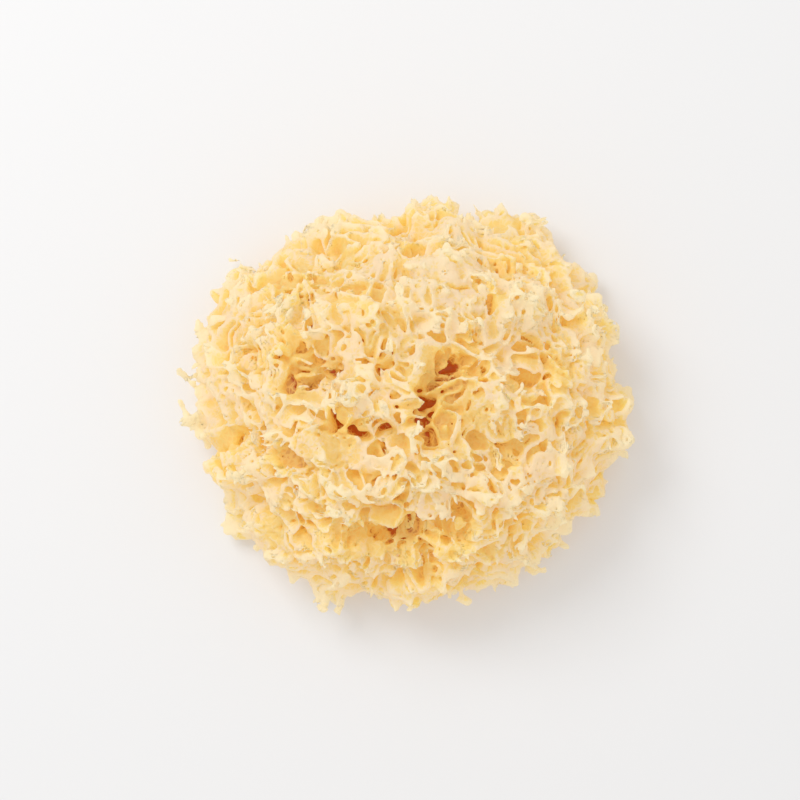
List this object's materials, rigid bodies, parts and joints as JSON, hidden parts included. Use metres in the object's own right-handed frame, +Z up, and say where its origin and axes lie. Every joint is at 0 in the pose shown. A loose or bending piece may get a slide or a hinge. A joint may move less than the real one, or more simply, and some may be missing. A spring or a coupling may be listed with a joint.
{
  "type": "snow fungus",
  "caption": "Dried head of a frilly jelly fungus: ruffled translucent fronds spread from a flat cut base into a low dome.",
  "frame": {"origin": "middle of the head's box, on the plane of the flat cut face that it rests on", "axes": "+Z up out of the cut face, +X along the longer way across the head, +Y along the shorter way"},
  "size_m": [0.124, 0.1138, 0.0567],
  "materials": {
    "frond": "satin",
    "base": "matte"
  },
  "bodies": {
    "root": {"base": "base", "frond_crown_north": "frond", "frond_crown_east": "frond", "frond_crown_south": "frond", "frond_crown_west": "frond", "frond_rim_east": "frond", "frond_rim_north_east": "frond", "frond_rim_north": "frond", "frond_rim_north_west": "frond", "frond_rim_west": "frond", "frond_rim_south_west": "frond", "frond_rim_south": "frond", "frond_rim_low": "frond", "frond_rim_south_east": "frond"}
  },
  "joints": []
}
